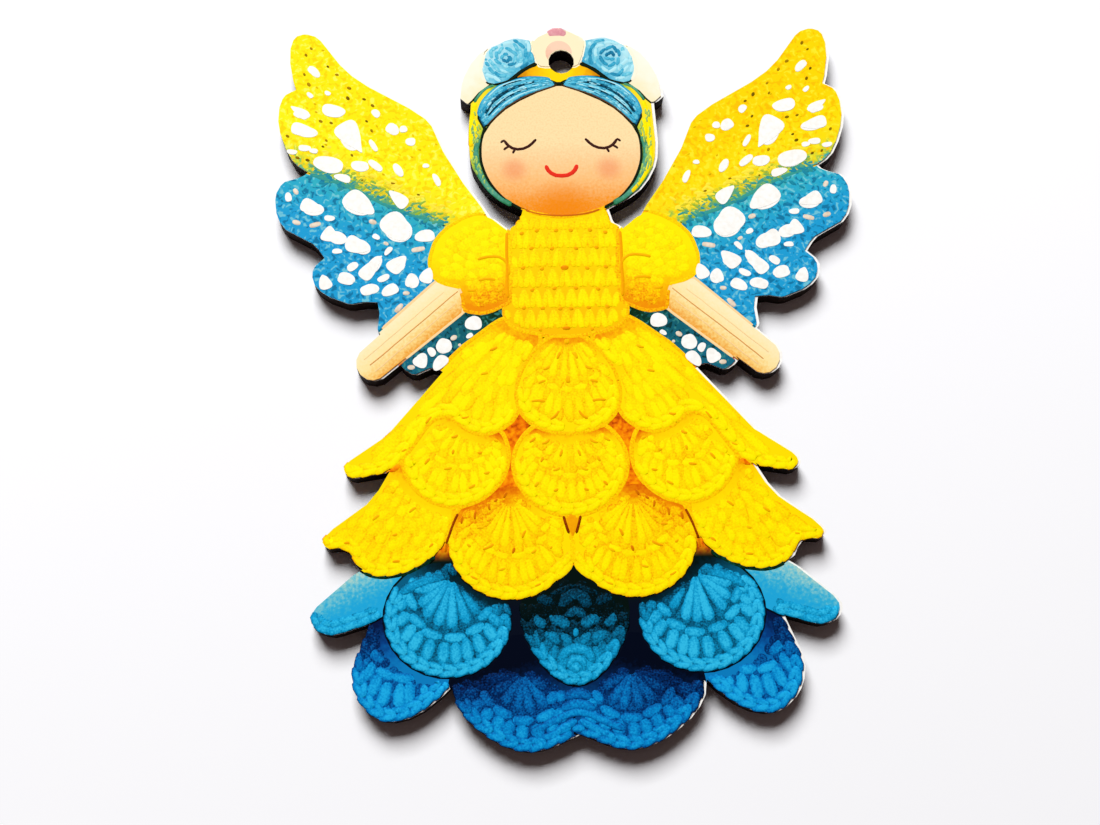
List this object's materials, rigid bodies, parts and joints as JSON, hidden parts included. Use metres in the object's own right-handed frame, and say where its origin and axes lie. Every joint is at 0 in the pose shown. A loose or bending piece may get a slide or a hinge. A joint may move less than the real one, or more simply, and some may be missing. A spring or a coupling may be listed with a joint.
{
  "type": "wooden angel figurine",
  "caption": "Flat laser-cut plywood angel ornament with a white base coat, a printed crochet-style front in yellow and blue, charred edges and a hanging hole.",
  "frame": {"origin": "centre of the bounding box on the bare back face, on which the ornament lies", "axes": "+X across the wings to the figure's printed right-hand side as seen from the front, +Y from the hem towards the head and the hanging hole, +Z out of the printed face"},
  "size_m": [0.0874, 0.1104, 0.0033],
  "materials": {
    "birch_plywood": "sanded, edges charred black-brown by the laser",
    "white_base_coat": "matt white primer",
    "key_ink": "satin printed film, dark brown to navy",
    "yellow_ink": "satin printed film",
    "amber_ink": "satin printed film",
    "sky_ink": "satin printed film",
    "blue_ink": "satin printed film",
    "navy_ink": "satin printed film",
    "teal_ink": "satin printed film",
    "skin_ink": "satin printed film",
    "cream_ink": "satin printed film"
  },
  "bodies": {
    "root": {"back_ply": "birch_plywood", "core_ply": "birch_plywood", "front_ply": "birch_plywood", "white_coat": "white_base_coat", "key_ink": "key_ink", "flower_centre": "cream_ink", "flower_blue_right": "sky_ink", "flower_blue_left": "sky_ink", "flower_cream_right": "cream_ink", "flower_cream_left": "cream_ink", "headband_right": "sky_ink", "headband_left": "sky_ink", "cap_crown": "yellow_ink", "face": "skin_ink", "hair_right": "yellow_ink", "hair_left": "yellow_ink", "sleeve_right": "yellow_ink", "sleeve_left": "yellow_ink", "bodice": "yellow_ink", "arm_right": "skin_ink", "arm_left": "skin_ink", "row1_centre": "yellow_ink", "row1_side_right": "yellow_ink", "row1_side_left": "yellow_ink", "row2_centre": "yellow_ink", "row2_side_right": "yellow_ink", "row2_side_left": "yellow_ink", "row3_inner_right": "amber_ink", "row3_inner_left": "amber_ink", "row3_outer_right": "amber_ink", "row3_outer_left": "amber_ink", "row4_centre": "blue_ink", "row4_side_right": "blue_ink", "row4_side_left": "blue_ink", "row4_tip_right": "blue_ink", "row4_tip_left": "blue_ink", "row5_inner_right": "navy_ink", "row5_inner_left": "navy_ink", "row5_outer_right": "navy_ink", "row5_outer_left": "navy_ink", "wing_fringe_right": "teal_ink", "wing_fringe_left": "teal_ink", "wing_upper_right": "yellow_ink", "wing_upper_left": "yellow_ink", "wing_lower_right": "blue_ink", "wing_lower_left": "blue_ink"}
  },
  "joints": []
}
